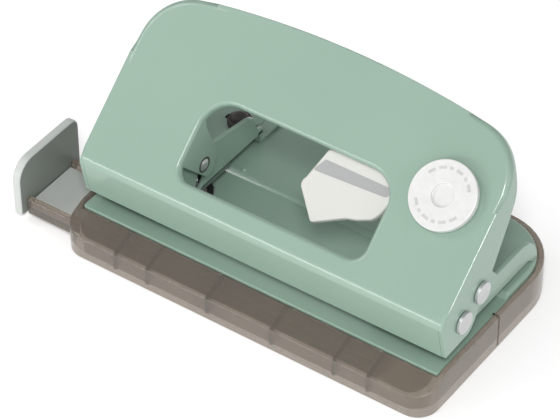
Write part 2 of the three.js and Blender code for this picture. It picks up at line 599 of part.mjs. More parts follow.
const assembly = new THREE.Group();
assembly.position.y = -TRAY_DEPTH / 2;
assembly.add(basePlate(), chipTray(), gaugeChannel(), gaugeScale(), gaugeEndPlate());
assembly.add(handle(), lockKnob(), lockLever(), lockClip());
const paired = {
  bracket, guide_plate: guidePlate, guide_rivet: guideRivet, bracket_rivet: bracketRivet, die,
  bumper, pivot_pin: pivotPin, drive_pin: drivePin, punch_pin: punchPin, return_spring: returnSpring,
};
for (const [piece, make] of Object.entries(paired)) {
  assembly.add(make(`left_${piece}`, -1), make(`right_${piece}`, 1));
}

const group = new THREE.Group();
group.add(assembly);
export default group;
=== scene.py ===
"""A two-hole desk punch on a pale floor.

The pieces are modelled in millimetres in the punch's own layout.
They are seated in the frame when they are finished.
X runs along the punch towards the lock knob, Y from the paper side to the hand side, Z up.
"""
import math

import bmesh
import bpy
from mathutils import Matrix, Vector


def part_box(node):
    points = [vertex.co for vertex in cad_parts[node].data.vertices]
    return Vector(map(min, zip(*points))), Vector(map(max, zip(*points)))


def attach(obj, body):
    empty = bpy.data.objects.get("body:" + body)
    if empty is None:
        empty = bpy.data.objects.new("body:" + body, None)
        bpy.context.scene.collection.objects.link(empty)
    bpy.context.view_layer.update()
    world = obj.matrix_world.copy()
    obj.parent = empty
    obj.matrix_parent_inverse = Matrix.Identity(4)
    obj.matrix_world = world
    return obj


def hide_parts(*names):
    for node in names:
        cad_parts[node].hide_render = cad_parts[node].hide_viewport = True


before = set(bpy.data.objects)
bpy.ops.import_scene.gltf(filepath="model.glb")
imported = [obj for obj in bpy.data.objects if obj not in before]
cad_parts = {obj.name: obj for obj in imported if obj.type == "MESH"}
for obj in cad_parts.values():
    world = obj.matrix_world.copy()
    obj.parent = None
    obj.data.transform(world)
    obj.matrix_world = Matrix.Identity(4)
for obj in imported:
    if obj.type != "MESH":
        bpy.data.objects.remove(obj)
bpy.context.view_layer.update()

TRAY_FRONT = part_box("chip_tray")[0].y

# Millimetres, with Y from the tray's front wall, to metres in the frame.
SEAT = Matrix.Translation((0, TRAY_FRONT, 0)) @ Matrix.Scale(0.001, 4)
# A shape drawn flat in (Y, Z) and given its thickness along X.
SIDEWAYS = Matrix(((0, 0, 1), (1, 0, 0), (0, 1, 0))).to_4x4()

# The handle plate: X across, Y up the slope from the front bend, Z out of the sheet.
SLOPE = math.radians(40.9)
PLATE = Matrix.Translation((0, 9.3, 30.2)) @ Matrix.Rotation(SLOPE, 4, "X")
SHEET = 1.4
SEAM = 0.1
HANDLE_HALF = 65.2
HANDLE_SIDE = 42.0
HANDLE_CORNER = 17.0
# Degrees that the far edge leans at its ends.
BOW_LEAN = 8.5
# Foot of the front flange, as (distance up the slope, height under the plate).
FLANGE_FOOT = (-6.98, -12.34)
# The opening in the plate, as (half width, low edge, high edge).
WINDOW = (33.0, 7.1, 33.8)
WINDOW_LOW_RADIUS = 4.6
WINDOW_HIGH_RADIUS = 9.0
WINDOW_RIM = 2.6
# Centre of the lock knob on the plate.
KNOB = (48.8, 34.6)
# Raised dashes round the knob's face, as (start, sweep) in degrees.
DASHES = [
    (28, 16), (52, 8), (68, 16), (92, 8), (108, 16), (132, 16),
    (208, 16), (232, 8), (248, 16), (272, 8), (288, 16), (312, 16),
]

# Centres of the cross pins, as (Y, Z).
PIVOT = (20.4, 24.4)
DRIVE = (29.72, 29.01)
# Centre of the right-hand punch, as (X, Y).
PUNCH = (40.0, 34.6)

# Lower edge of a cheek, as (distance up the slope, height under the plate).
CHEEK_EDGE = [
    (-7.0, -12.34), (2.2, -19.8), (4.4, -20.2), (6.8, -19.75), (9.4, -19.0), (16.0, -17.2), (23.1, -15.4),
    (30.0, -13.2), (36.0, -11.3), (41.4, -9.2), (46.4, -6.4), (49.2, -4.6), (51.6, -4.0), (80.0, -4.0),
]
# Lower edge of an inner ear, in the same terms.
EAR_EDGE = [
    (8.0, -2.6), (10.2, -2.6), (10.3, -17.4), (11.8, -19.8), (14.6, -20.9), (18.0, -19.4), (21.0, -16.4),
    (25.4, -3.6), (26.4, -2.6), (40.0, -2.6),
]


# ---- shapes ------------------------------------------------------------------

def arc(x, y, radius, start, end, steps=8):
    """Points round a centre, from one angle to another in degrees."""
    turns = [math.radians(start + (end - start) * i / steps) for i in range(steps + 1)]
    return [(x + radius * math.cos(t), y + radius * math.sin(t)) for t in turns]


def rounded(half, low, high, low_radius, high_radius, steps=8):
    """A rectangle about X = 0 with its own radius on the low and the high corners."""
    return (
        arc(half - low_radius, low + low_radius, low_radius, -90, 0, steps)
        + arc(half - high_radius, high - high_radius, high_radius, 0, 90, steps)
        + arc(high_radius - half, high - high_radius, high_radius, 90, 180, steps)
        + arc(low_radius - half, low + low_radius, low_radius, 180, 270, steps)
    )


def along(table, at):
    """Height of a broken line, given as (place, height) pairs, at one place."""
    for (a, low), (b, high) in zip(table, table[1:]):
        if at <= b:
            return low + (high - low) * max(0.0, at - a) / (b - a)
    return table[-1][1]


def flat(bm, loops, height=0.0):
    """One flat face at a height, with the later loops cut out of the first."""
    edges = []
    for points in loops:
        ring = [bm.verts.new((x, y, height)) for x, y in points]
        edges += [bm.edges.new((ring[i - 1], v)) for i, v in enumerate(ring)]
    if len(loops) == 1:
        bmesh.ops.contextual_create(bm, geom=edges)
    else:
        bmesh.ops.triangle_fill(bm, edges=edges, use_beauty=True, normal=(0, 0, 1))
        bmesh.ops.dissolve_limit(bm, angle_limit=0.01, verts=[], edges=bm.edges[:])
    face_up(bm)
    return bm


def face_up(bm):
    """Turns every face of a flat shape upward."""
    for face in bm.faces:
        face.normal_update()
    bmesh.ops.reverse_faces(bm, faces=[f for f in bm.faces if f.normal.z < 0])


def agree(bm):
    """Makes all faces of a sheet agree, with the largest one facing up."""
    bmesh.ops.recalc_face_normals(bm, faces=bm.faces[:])
    if max(bm.faces, key=lambda f: f.calc_area()).normal.z < 0:
        bmesh.ops.reverse_faces(bm, faces=bm.faces[:])


def new_verts(made):
    return [g for g in made["geom"] if isinstance(g, bmesh.types.BMVert)]


def prism(loops, low, high, place=Matrix()):
    """A closed solid over flat loops, from one height to another."""
    bm = flat(bmesh.new(), loops, low)
    made = bmesh.ops.extrude_face_region(bm, geom=bm.faces[:])
    bmesh.ops.translate(bm, verts=new_verts(made), vec=(0, 0, high - low))
    bmesh.ops.recalc_face_normals(bm, faces=bm.faces[:])
    bmesh.ops.transform(bm, matrix=place, verts=bm.verts[:])
    return bm


def turned(profile, place=Matrix(), steps=32):
    """A solid of revolution about Z, from (radius, height) pairs."""
    bm = bmesh.new()
    line = [bm.verts.new((r, 0, z)) for r, z in profile]
    edges = [bm.edges.new(pair) for pair in zip(line, line[1:])]
    bmesh.ops.spin(
        bm, geom=line + edges, cent=(0, 0, 0), axis=(0, 0, 1), angle=math.tau, steps=steps, use_merge=True,
    )
    bmesh.ops.remove_doubles(bm, verts=bm.verts[:], dist=1e-4)
    bmesh.ops.recalc_face_normals(bm, faces=bm.faces[:])
    bmesh.ops.transform(bm, matrix=place, verts=bm.verts[:])
    return bm


def join(bm, *others):
    """Moves other shapes into the first one."""
    for other in others:
        mesh = bpy.data.meshes.new("joining")
        other.to_mesh(mesh)
        other.free()
        bm.from_mesh(mesh)
        bpy.data.meshes.remove(mesh)
    return bm


def mirrored(bm):
    """Swaps left and right."""
    bmesh.ops.transform(bm, matrix=Matrix.Scale(-1, 4, (1, 0, 0)), verts=bm.verts[:])
    bmesh.ops.reverse_faces(bm, faces=bm.faces[:])
    return bm


def bevel(bm, edges, width, segments=3):
    bmesh.ops.bevel(
        bm, geom=edges, offset=width, offset_type="OFFSET", affect="EDGES", segments=segments, profile=0.5,
        material=-1, clamp_overlap=False,
    )


def sharp(bm, least=32.0):
    """Edges where two faces meet at more than this many degrees."""
    return [e for e in bm.edges if e.is_manifold and e.calc_face_angle(0.0) > math.radians(least)]


def soften(bm, width=0.3, segments=2, skip=None):
    """Rounds the sharp edges, apart from those that a test skips."""
    bevel(bm, [e for e in sharp(bm) if skip is None or not skip(e)], width, segments)
    return bm


def cut(bm, point, normal, faces=None):
    """Cuts faces along a plane, and keeps both sides."""
    faces = bm.faces[:] if faces is None else faces
    edges = {e for f in faces for e in f.edges}
    verts = {v for f in faces for v in f.verts}
    bmesh.ops.bisect_plane(
        bm, geom=list(faces) + list(edges) + list(verts), dist=1e-4, plane_co=point, plane_no=normal,
    )


def thicken(bm, thickness):
    """Gives a sheet its thickness behind its faces."""
    bm.normal_update()
    bmesh.ops.solidify(bm, geom=bm.faces[:], thickness=thickness)
    return bm


def middle(face):
    return face.calc_center_median()


def middle_of(edge):
    return (edge.verts[0].co + edge.verts[1].co) / 2


def second_finish(bm):
    """Gives every face the second finish of the piece."""
    for face in bm.faces:
        face.material_index = 1
    return bm


def side_name(side):
    return "right" if side > 0 else "left"


def piece(bm, name, body, look, slot, *stands_for):
    """Seats a finished shape in the frame as a named piece that rides on a body."""
    bmesh.ops.transform(bm, matrix=SEAT, verts=bm.verts[:])
    bmesh.ops.triangulate(bm, faces=[f for f in bm.faces if len(f.verts) > 4])
    mesh = bpy.data.meshes.new(name)
    bm.to_mesh(mesh)
    bm.free()
    mesh.shade_smooth()
    mesh.set_sharp_from_angle(angle=math.radians(40))
    for finish in look if isinstance(look, list) else [look]:
        mesh.materials.append(finish)
    made = bpy.data.objects.new(name, mesh)
    bpy.context.scene.collection.objects.link(made)
    even = made.modifiers.new("even_shading", "WEIGHTED_NORMAL")
    even.keep_sharp = True
    even.weight = 90
    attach(made, body)
    if stands_for:
        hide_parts(*stands_for)
    return made


# ---- finishes ----------------------------------------------------------------

def shader(name, **sockets):
    """A new material, with values for the named sockets of its surface."""
    look = bpy.data.materials.new(name)
    look.use_nodes = True
    surface = look.node_tree.nodes["Principled BSDF"]
    for socket, value in sockets.items():
        surface.inputs[socket.replace("_", " ")].default_value = value
    return look, look.node_tree, surface


def grain(tree, scale, detail=2.0, stretch=(1, 1, 1)):
    """A soft noise that is fixed to the piece."""
    place = tree.nodes.new("ShaderNodeTexCoord")
    fit = tree.nodes.new("ShaderNodeMapping")
    fit.inputs["Scale"].default_value = stretch
    noise = tree.nodes.new("ShaderNodeTexNoise")
    noise.inputs["Scale"].default_value = scale
    noise.inputs["Detail"].default_value = detail
    tree.links.new(place.outputs["Object"], fit.inputs["Vector"])
    tree.links.new(fit.outputs["Vector"], noise.inputs["Vector"])
    return noise.outputs["Fac"]


def spread(tree, source, low, high):
    """The noise as a value between low and high."""
    scale = tree.nodes.new("ShaderNodeMapRange")
    scale.inputs["From Min"].default_value = 0.3
    scale.inputs["From Max"].default_value = 0.7
    scale.inputs["To Min"].default_value = low
    scale.inputs["To Max"].default_value = high
    tree.links.new(source, scale.inputs["Value"])
    return scale.outputs["Result"]


def tint(tree, source, low, high):
    """The noise as a colour between two colours."""
    ramp = tree.nodes.new("ShaderNodeValToRGB")
    ramp.color_ramp.elements[0].position = 0.3
    ramp.color_ramp.elements[1].position = 0.7
    ramp.color_ramp.elements[0].color = (*low, 1)
    ramp.color_ramp.elements[1].color = (*high, 1)
    tree.links.new(source, ramp.inputs["Fac"])
    return ramp.outputs["Color"]


def relief(tree, surface, source, strength, distance):
    """Uses the noise as a height on the surface."""
    bump = tree.nodes.new("ShaderNodeBump")
    bump.inputs["Strength"].default_value = strength
    bump.inputs["Distance"].default_value = distance
    tree.links.new(source, bump.inputs["Height"])
    tree.links.new(bump.outputs["Normal"], surface.inputs["Normal"])


def finish_with(name, low, high, rough, colour_scale, skin_scale, skin_depth, stretch=(1, 1, 1), **sockets):
    """A finish whose colour drifts a little, with an uneven gloss and a fine skin."""
    look, tree, surface = shader(name, **sockets)
    drift = grain(tree, colour_scale, 3.0)
    tree.links.new(tint(tree, drift, low, high), surface.inputs["Base Color"])
    skin = grain(tree, skin_scale, 2.0, stretch)
    tree.links.new(spread(tree, skin, rough - 0.04, rough + 0.05), surface.inputs["Roughness"])
    relief(tree, surface, skin, 0.5, skin_depth)
    return look


def green_enamel():
    return finish_with(
        "green_enamel", (0.248, 0.362, 0.292), (0.261, 0.377, 0.305), 0.40, 22, 900, 0.00001,
        Coat_Weight=0.5, Coat_Roughness=0.09,
    )


def smoked_plastic(name="smoked_plastic", depth=1.0):
    """Clear plastic with a brown smoke tint, which a depth over 1 makes darker."""
    look, tree, surface = shader(name, Transmission_Weight=0.78, IOR=1.49)
    low, high = [tuple(c ** depth for c in tone) for tone in ((0.400, 0.345, 0.290), (0.445, 0.385, 0.325))]
    tree.links.new(tint(tree, grain(tree, 30, 3.0), low, high), surface.inputs["Base Color"])
    tree.links.new(spread(tree, grain(tree, 260), 0.17, 0.24), surface.inputs["Roughness"])
    return look


# A dark copy of the light grey plastic: painted shade for the inner face of the gauge's end plate.
def gauge_plastic():
    return finish_with(
        "gauge_plastic", (0.200, 0.222, 0.200), (0.220, 0.242, 0.220), 0.38, 40, 700, 0.000005,
    )


def grey_plastic():
    return finish_with(
        "grey_plastic", (0.520, 0.545, 0.520), (0.560, 0.580, 0.555), 0.42, 40, 1600, 0.00003,
    )


def white_plastic():
    return finish_with(
        "white_plastic", (0.600, 0.598, 0.568), (0.630, 0.628, 0.598), 0.38, 40, 1600, 0.00003,
        Subsurface_Weight=0.06, Subsurface_Radius=(0.002, 0.002, 0.002), Subsurface_Scale=1.0,
    )


def grey_print():
    return finish_with(
        "grey_print", (0.345, 0.345, 0.350), (0.370, 0.370, 0.375), 0.45, 40, 1600, 0.00002,
    )


def bright_steel():
    return finish_with(
        "bright_steel", (0.560, 0.570, 0.570), (0.640, 0.645, 0.645), 0.44, 200, 2600, 0.00003, (1, 1, 0.2),
        Metallic=0.85,
    )


def knob_face():
    return finish_with(
        "knob_face", (0.660, 0.660, 0.655), (0.710, 0.710, 0.705), 0.38, 500, 2600, 0.00001,
        Metallic=0.1,
    )


def knob_mark():
    return finish_with(
        "knob_mark", (0.500, 0.500, 0.495), (0.560, 0.560, 0.555), 0.40, 500, 2600, 0.00001, Metallic=0.1,
    )


def tool_steel():
    return finish_with(
        "tool_steel", (0.300, 0.310, 0.320), (0.400, 0.410, 0.420), 0.32, 160, 1500, 0.00003, (1, 1, 0.1),
        Metallic=1.0,
    )


def black_rubber():
    return finish_with(
        "black_rubber", (0.040, 0.032, 0.032), (0.065, 0.055, 0.055), 0.52, 150, 1800, 0.00006,
    )


# ---- handle ------------------------------------------------------------------

def handle_outline():
    """Straight sides, round corners and a slightly bowed far edge that runs on smoothly from the corners."""
    corner_x = HANDLE_HALF - HANDLE_CORNER
    side = [(HANDLE_HALF, s) for s in (0.0, 4.0, 6.0, 8.2, 10.6, 16.0, 23.1, 30.0, 36.0)]
    round_corner = arc(corner_x, HANDLE_SIDE, HANDLE_CORNER, 0, 90 - BOW_LEAN, 14)
    end_x, end_s = round_corner[-1]
    rise = end_x * math.tan(math.radians(BOW_LEAN))
    bow = [(end_x * (1 - t / 8), end_s + rise * (t / 8) * (1 - t / 16)) for t in range(1, 16)]
    right = side + round_corner
    return right + bow + [(-x, s) for x, s in reversed(right)]


def handle_shell():
    """The outer face of the folded sheet, in the plate's own frame."""
    half, low, high = WINDOW
    corner_steps, knob_hole = 8, 3.3
    window = rounded(half, low, high, WINDOW_LOW_RADIUS, WINDOW_HIGH_RADIUS, corner_steps)
    # More points on the window's sides, for the lower edge of the ears.
    stations = (14.6, 18.0, 21.0)
    right, left = corner_steps + 1, 3 * (corner_steps + 1)
    window = (
        window[:right] + [(half, s) for s in stations] + window[right:left]
        + [(-half, s) for s in reversed(stations)] + window[left:]
    )
    bm = flat(bmesh.new(), [handle_outline(), window, arc(*KNOB, knob_hole, 0, 345, 23)])
    knob = Vector((*KNOB, 0))
    rims = [e for e in bm.edges if e.is_boundary and (middle_of(e) - knob).length > knob_hole + 0.7]
    tops = set(rims)
    made = bmesh.ops.extrude_edge_only(bm, edges=rims)
    for vert in new_verts(made):
        vert.co = folded_to(vert.co)
    outer = [
        e for e in tops
        if max(abs(v.co.x) for v in e.verts) > half + 0.5 or e.verts[0].co.y > high + 3 or e.verts[0].co.y < 1
    ]
    inner = [e for e in tops if e not in outer]
    bevel(bm, outer, 2.0, 6)
    bevel(bm, [e for e in inner if e.is_valid], 1.5, 5)
    agree(bm)
    return bm


def folded_to(point):
    """Where the edge of the flat sheet goes when it is folded down."""
    half, low, high = WINDOW
    x, s = point.x, point.y
    if abs(x) < half + 0.1 and low - 0.1 < s < high + 0.1:
        ear = abs(x) > half - 0.05 and 11.0 < s < 25.0
        return Vector((x, s, along(EAR_EDGE, s) if ear else -WINDOW_RIM))
    if s < 0.01:
        return Vector((x, *FLANGE_FOOT))
    # The front of a cheek runs forward as it goes down.
    lower = {4.0: 2.2, 6.0: 4.4, 8.2: 6.8, 10.6: 9.4}.get(round(s, 2), s)
    return Vector((x, lower, along(CHEEK_EDGE, lower)))


def seam_slots(bm):
    """The narrow gap between the front flange and each cheek."""
    outward = Vector((0, FLANGE_FOOT[1], -FLANGE_FOOT[0])).normalized()
    seam_out, seam_in = HANDLE_HALF - SHEET, HANDLE_HALF - SHEET - SEAM
    for side in (-1, 1):
        for x in (seam_out, seam_in):
            faces = [f for f in bm.faces if f.normal.dot(outward) > 0.999]
            cut(bm, (side * x, 0, 0), (1, 0, 0), faces)
    narrow = [f for f in bm.faces if f.normal.dot(outward) > 0.999 and seam_in < abs(middle(f).x) < seam_out]
    bmesh.ops.delete(bm, geom=narrow, context="FACES")


def handle(look):
    """The folded sheet that is pressed by hand."""
    bm = handle_shell()
    seam_slots(bm)
    thicken(bm, SHEET)
    soften(bm, 0.28, 2, in_seam)
    bmesh.ops.transform(bm, matrix=PLATE, verts=bm.verts[:])
    piece(bm, "handle_sheet", "handle", look, "green_enamel", "handle")


def in_seam(edge):
    """Whether an edge is in the narrow gap beside the front flange."""
    seam = HANDLE_HALF - SHEET
    return all(seam - 0.4 < abs(v.co.x) < seam + 0.1 for v in edge.verts) and middle_of(edge).z < -2


# ---- base --------------------------------------------------------------------

def base_plate(look):
    """The pressed plate: a low deck for the paper and a raised platform behind the stop."""
    half, front, rear, deck, platform, stop = 64.3, 9.3, 77.2, 12.0, 14.0, 46.6
    sheet, ramp, skirt_foot, die_hole = 1.3, 1.1, 10.6, 5.5
    punch_x, punch_y = PUNCH
    dies = [arc(side * punch_x, punch_y, die_hole, 0, 345, 23) for side in (-1, 1)]
    bm = flat(bmesh.new(), [rounded(half, front, rear, 0.8, 18.8, 10), *dies], deck)
    for side in (-1, 1):
        cut(bm, (side * punch_x, 0, 0), (1, 0, 0))
    for y in (punch_y, stop, stop + ramp):
        cut(bm, (0, y, 0), (0, 1, 0))
    for vert in bm.verts:
        if vert.co.y > stop + 1:
            vert.co.z = platform
    centres = [Vector((side * punch_x, punch_y, deck)) for side in (-1, 1)]
    rims = [
        e for e in bm.edges
        if e.is_boundary and all((middle_of(e) - centre).length > die_hole + 1.5 for centre in centres)
    ]
    made = bmesh.ops.extrude_edge_only(bm, edges=rims)
    for vert in new_verts(made):
        vert.co.z = skirt_foot
    bm.normal_update()
    bevel(bm, [e for e in rims if e.verts[0].co.y > stop + 1 and e.verts[1].co.y > stop + 1], 1.3, 4)
    agree(bm)
    thicken(bm, sheet)
    soften(bm, 0.25, 2)
    # Two small nubs just behind the paper stop.
    dome = [(0, 13.5), (1.0, 13.5), (1.0, 14.0), (0.9, 14.3), (0.6, 14.6), (0, 14.75)]
    for side in (-1, 1):
        join(bm, turned(dome, Matrix.Translation((side * 32.2, 48.6, 0)), 20))
    piece(bm, "base_sheet", "base", look, "green_enamel", "base_plate")


def drive_slot():
    """The curved slot that lets the drive pin swing round the pivot."""
    clear, reach, sweep = 1.9, math.dist(PIVOT, DRIVE), 52.2
    high = math.degrees(math.atan2(DRIVE[1] - PIVOT[1], DRIVE[0] - PIVOT[0])) + 1.1
    low = high - sweep
    ends = [arc(*PIVOT, reach, turn, turn, 1)[0] for turn in (high, low)]
    return (
        arc(*PIVOT, reach + clear, low, high, 10) + arc(*ends[0], clear, high, high + 180, 8)[1:-1]
        + arc(*PIVOT, reach - clear, high, low, 10) + arc(*ends[1], clear, low + 180, low + 360, 8)[1:-1]
    )


def bracket(side, look):
    """One folded bracket: an inner and an outer ear, the web between them and the rear foot."""
    near, far, web, rear, foot_far = 35.2, 62.8, 19.3, 63.0, 48.5
    low = web - SHEET
    crown = [(30, 32.8), (22, 32.5), (17.6, 30.8), (15.8, 28.5)]
    high_back = [(59.4, 22.8), (59.0, 25.2), (57.8, 27.0), (55.4, 28.1), (38.6, 31)]
    low_back = [(59, 22), (56, 22.8), (44, 24.4), (40, 30.6)]
    holes = [drive_slot(), arc(*PIVOT, 2.3, 0, 345, 23)]
    back = low_back if side > 0 else high_back
    inner = [(15.8, 19.5), (17.4, low), (rear, low), (rear, web + 0.4), (60.8, 20.6), *back, *crown]
    inner_ear = prism([inner, *holes], near, near + SHEET, SIDEWAYS)
    outer = [
        (15.6, 16.2), (60.8, 16.2), (62.0, 15.4), (63.0, 14.5), (65.9, 14.5), (65.7, 16.0), (65.1, 18.0),
        (64.1, 20.2), (62.6, 22.0), (60.6, 23.5), (57.5, 24.4), (43, 24.5), (38.6, 30), *crown,
    ]
    outer_ear = prism([outer, *holes], far - SHEET, far, SIDEWAYS)
    web_plate = prism([[(39.5, low), (rear, low), (rear, web), (39.5, web)]], near + 1, far - 1, SIDEWAYS)
    foot = prism([[
        (rear - 2.8, low), (rear - SHEET, low), (rear - SHEET, 14.25), (72.5, 14.25), (72.5, 15.65),
        (rear, 15.65), (rear, web), (rear - 2.8, web),
    ]], near, foot_far, SIDEWAYS)
    plates = [inner_ear, outer_ear, web_plate, foot]
    for plate in plates:
        soften(plate, 0.32, 2)
    bm = join(*plates)
    if side < 0:
        mirrored(bm)
    name = side_name(side)
    piece(bm, f"{name}_bracket_sheet", "base", look, "green_enamel", f"{name}_bracket")


def bumper(side, look):
    """A rubber stop for the handle, pressed into the bracket's web."""
    profile = [
        (0, 18.2), (1.6, 18.2), (1.6, 19.4), (3.9, 19.4), (4.0, 19.7), (4.0, 21.3), (3.8, 21.6), (3.3, 21.7),
        (3.05, 21.6), (2.9, 21.8), (2.7, 22.4), (2.2, 22.9), (1.5, 23.2), (0.7, 23.32), (0, 23.35),
    ]
    name = side_name(side)
    bm = turned(profile, Matrix.Translation((side * 42.3, 60.5, 0)), 40)
    piece(bm, f"{name}_rubber_stop", "base", look, "black_rubber", f"{name}_bumper")


def foot_rivet(side, look):
    """A flush rivet, painted over with the foot."""
    profile = [(0, 11.2), (1.6, 11.2), (1.6, 14.3), (2.7, 15.6), (2.6, 15.9), (1.6, 16.05), (0, 16.1)]
    name = side_name(side)
    bm = turned(profile, Matrix.Translation((side * 42, 68.4, 0)))
    piece(bm, f"{name}_foot_rivet", "base", look, "green_enamel", f"{name}_bracket_rivet")


def cross_pin(name, body, centre, side, radius, inner_end, looks, node):
    """A headed pin along X, with a flat softened head outside the cheek and a domed inner end."""
    head = HANDLE_HALF + 0.15
    shank = [
        (0, inner_end), (radius * 0.45, inner_end + 0.06), (radius * 0.8, inner_end + 0.28),
        (radius, inner_end + 0.7), (radius, head), (3.45, head), (3.6, head + 0.15), (3.6, head + 0.85),
        (3.52, head + 1.1), (3.36, head + 1.2), (0, head + 1.22),
    ]
    lie = Matrix.Translation((0, *centre)) @ Matrix.Rotation(math.pi / 2, 4, "Y")
    bm = turned(shank, lie, 40)
    # A ring in the second finish, black rubber, round the inner end: painted shade standing for the dark gap
    # of the hole round the pin.
    pin_hole_shade_ring = [
        (radius, inner_end + 0.75), (radius + 0.2, inner_end + 0.5), (radius + 0.7, inner_end + 0.5),
        (radius + 0.9, inner_end + 0.7), (radius + 0.9, inner_end + 1.6), (radius, inner_end + 1.6),
        (radius, inner_end + 0.75),
    ]
    join(bm, second_finish(turned(pin_hole_shade_ring, lie, 40)))
    if side < 0:
        mirrored(bm)
    piece(bm, name, body, looks, "bright_steel", node)


# ---- tray and gauge ----------------------------------------------------------

def sunk(bm, region, margin, height):
    """Insets a region by a margin and lowers what is inside to one height."""
    bm.normal_update()
    bmesh.ops.inset_region(bm, faces=region, thickness=margin, use_even_offset=True, use_boundary=True)
    made = bmesh.ops.extrude_face_region(bm, geom=region)
    bmesh.ops.delete(bm, geom=region, context="FACES")
    for vert in new_verts(made):
        vert.co.z = height
    lowered = [g for g in made["geom"] if isinstance(g, bmesh.types.BMFace)]
    merged = bmesh.ops.dissolve_faces(bm, faces=lowered)["region"] if len(lowered) > 1 else lowered
    straight = [v for f in merged for v in f.verts if len(v.link_edges) < 3]
    bmesh.ops.dissolve_verts(bm, verts=straight)
    return [f for f in merged if f.is_valid]


def chip_tray(look, rib_and_groove_shade_look):
    """The hollow tray: a sloping front ledge with ribs under it, and a step for the base plate."""
    half, depth, rim, front, ramp = 66.3, 79.6, 12.4, 8.0, 0.378
    lip, wall, ledge = 9.0, 1.7, 1.7
    step_height, hollow_height = 10.1, 1.8
    bm = prism([rounded(half, 0, depth, 7.2, 21, 12)], 0, rim)
    whole = bm.faces[:] + bm.edges[:] + bm.verts[:]
    made = bmesh.ops.bisect_plane(
        bm, geom=whole, dist=1e-4, plane_co=(0, 0, front), plane_no=(0, -ramp, 1), clear_outer=True,
    )
    bmesh.ops.contextual_create(bm, geom=[g for g in made["geom_cut"] if isinstance(g, bmesh.types.BMEdge)])
    bmesh.ops.recalc_face_normals(bm, faces=bm.faces[:])
    cut(bm, (0, lip - wall, 0), (0, 1, 0), [f for f in bm.faces if f.normal.z > 0.5])
    bm.normal_update()
    top = [f for f in bm.faces if f.normal.z > 0.5 and middle(f).y > lip - wall]
    step = sunk(bm, top, wall, step_height)
    sunk(bm, step, ledge, hollow_height)
    hollow_front(bm, lip + ledge)
    soften(bm, 0.4, 3)
    side_groove(bm)
    section = [(1.2, 1.6), (4.8, 1.6), (4.8, 7.6), (9.0, 9.0), (9.0, 9.8), (1.2, 7.1)]
    rib_half = 0.6
    for x in (11.7, 34, 46):
        for side in (-1, 1):
            rib = prism([section], side * x - rib_half, side * x + rib_half, SIDEWAYS)
            join(bm, second_finish(rib))
    piece(bm, "smoked_tray", "tray", [look, rib_and_groove_shade_look], "smoked_plastic", "chip_tray")


def side_groove(bm):
    """A narrow upright groove across each side wall, at the end of the paper slot."""
    front, rear, depth, outside = 39.0, 39.6, 1.0, 65.2
    for y in (front, rear):
        cut(bm, (0, y, 0), (0, 1, 0), [f for f in bm.faces if abs(middle(f).x) > outside])
    bm.normal_update()
    for side in (-1, 1):
        strip = [f for f in bm.faces if front < middle(f).y < rear and middle(f).x * side > outside]
        made = bmesh.ops.extrude_face_region(bm, geom=strip)
        bmesh.ops.delete(bm, geom=strip, context="FACES")
        verts = new_verts(made)
        bmesh.ops.translate(bm, verts=verts, vec=(-depth * side, 0, 0))
        # The groove's faces take the tray's darker rib plastic: painted shade in the recess.
        for face in {f for v in verts for f in v.link_faces}:
            face.material_index = 1


def hollow_front(bm, back):
    """Opens the hollow forward, under the sloping ledge."""
    split, new_front, roof, corner = 8.9, 1.9, 7.0, 6

    def front_wall():
        bm.normal_update()
        return [f for f in bm.faces if f.normal.y > 0.9 and abs(middle(f).y - back) < 0.3]

    cut(bm, (0, 0, split), (0, 0, 1), front_wall())
    low = [f for f in front_wall() if middle(f).z < split]
    made = bmesh.ops.extrude_face_region(bm, geom=low)
    bmesh.ops.delete(bm, geom=low, context="FACES")
    verts = new_verts(made)
    for vert in verts:
        vert.co.y = new_front
        vert.co.z = min(vert.co.z, roof)
    inside = [e for e in bm.edges if e.verts[0] in verts and e.verts[1] in verts]
    corners = [e for e in inside if abs(e.verts[0].co.z - e.verts[1].co.z) > 3]
    bevel(bm, corners, corner, 6)


def gauge(channel_look, strip_look, face_shade_look):
    """The sliding paper guide: a clear channel, the strip that lies in it and the plate on its end."""
    inner, outer = -83.2, 46.0
    section = [
        (5, 2.2), (29, 2.2), (29, 7.9), (26.8, 7.9), (26.8, 4.2), (7.2, 4.2), (7.2, 7.9), (5, 7.9),
    ]
    channel = soften(prism([section], inner, outer, SIDEWAYS), 0.4, 3)
    piece(channel, "smoked_channel", "gauge", channel_look, "smoked_plastic", "gauge_channel")
    strip = prism([[(inner, 7.5), (outer - 2, 7.5), (outer - 2, 26.5), (inner, 26.5)]], 4.4, 5.9)
    soften(strip, 0.25, 2)
    piece(strip, "scale_strip", "gauge", strip_look, "light_grey_plastic", "gauge_scale")
    outline = (
        [(3.2, 2.2), (31.2, 2.2), (32, 3)] + arc(28.6, 18.9, 3.4, 0, 90, 6) + arc(9.4, 15.3, 7.0, 90, 180, 8)
        + [(2.4, 3)]
    )
    end = soften(prism([outline], -86.4, -83.5, SIDEWAYS), 0.7, 4)
    # The end plate's inner face, which faces +X, takes the dark copy of the grey plastic as painted shade;
    # the rest of the plate keeps the light grey plastic.
    for face in end.faces:
        face.material_index = int(face.normal.x > 0.95)
    piece(end, "gauge_end", "gauge", [strip_look, face_shade_look], "light_grey_plastic", "gauge_end_plate")


# ---- lock --------------------------------------------------------------------

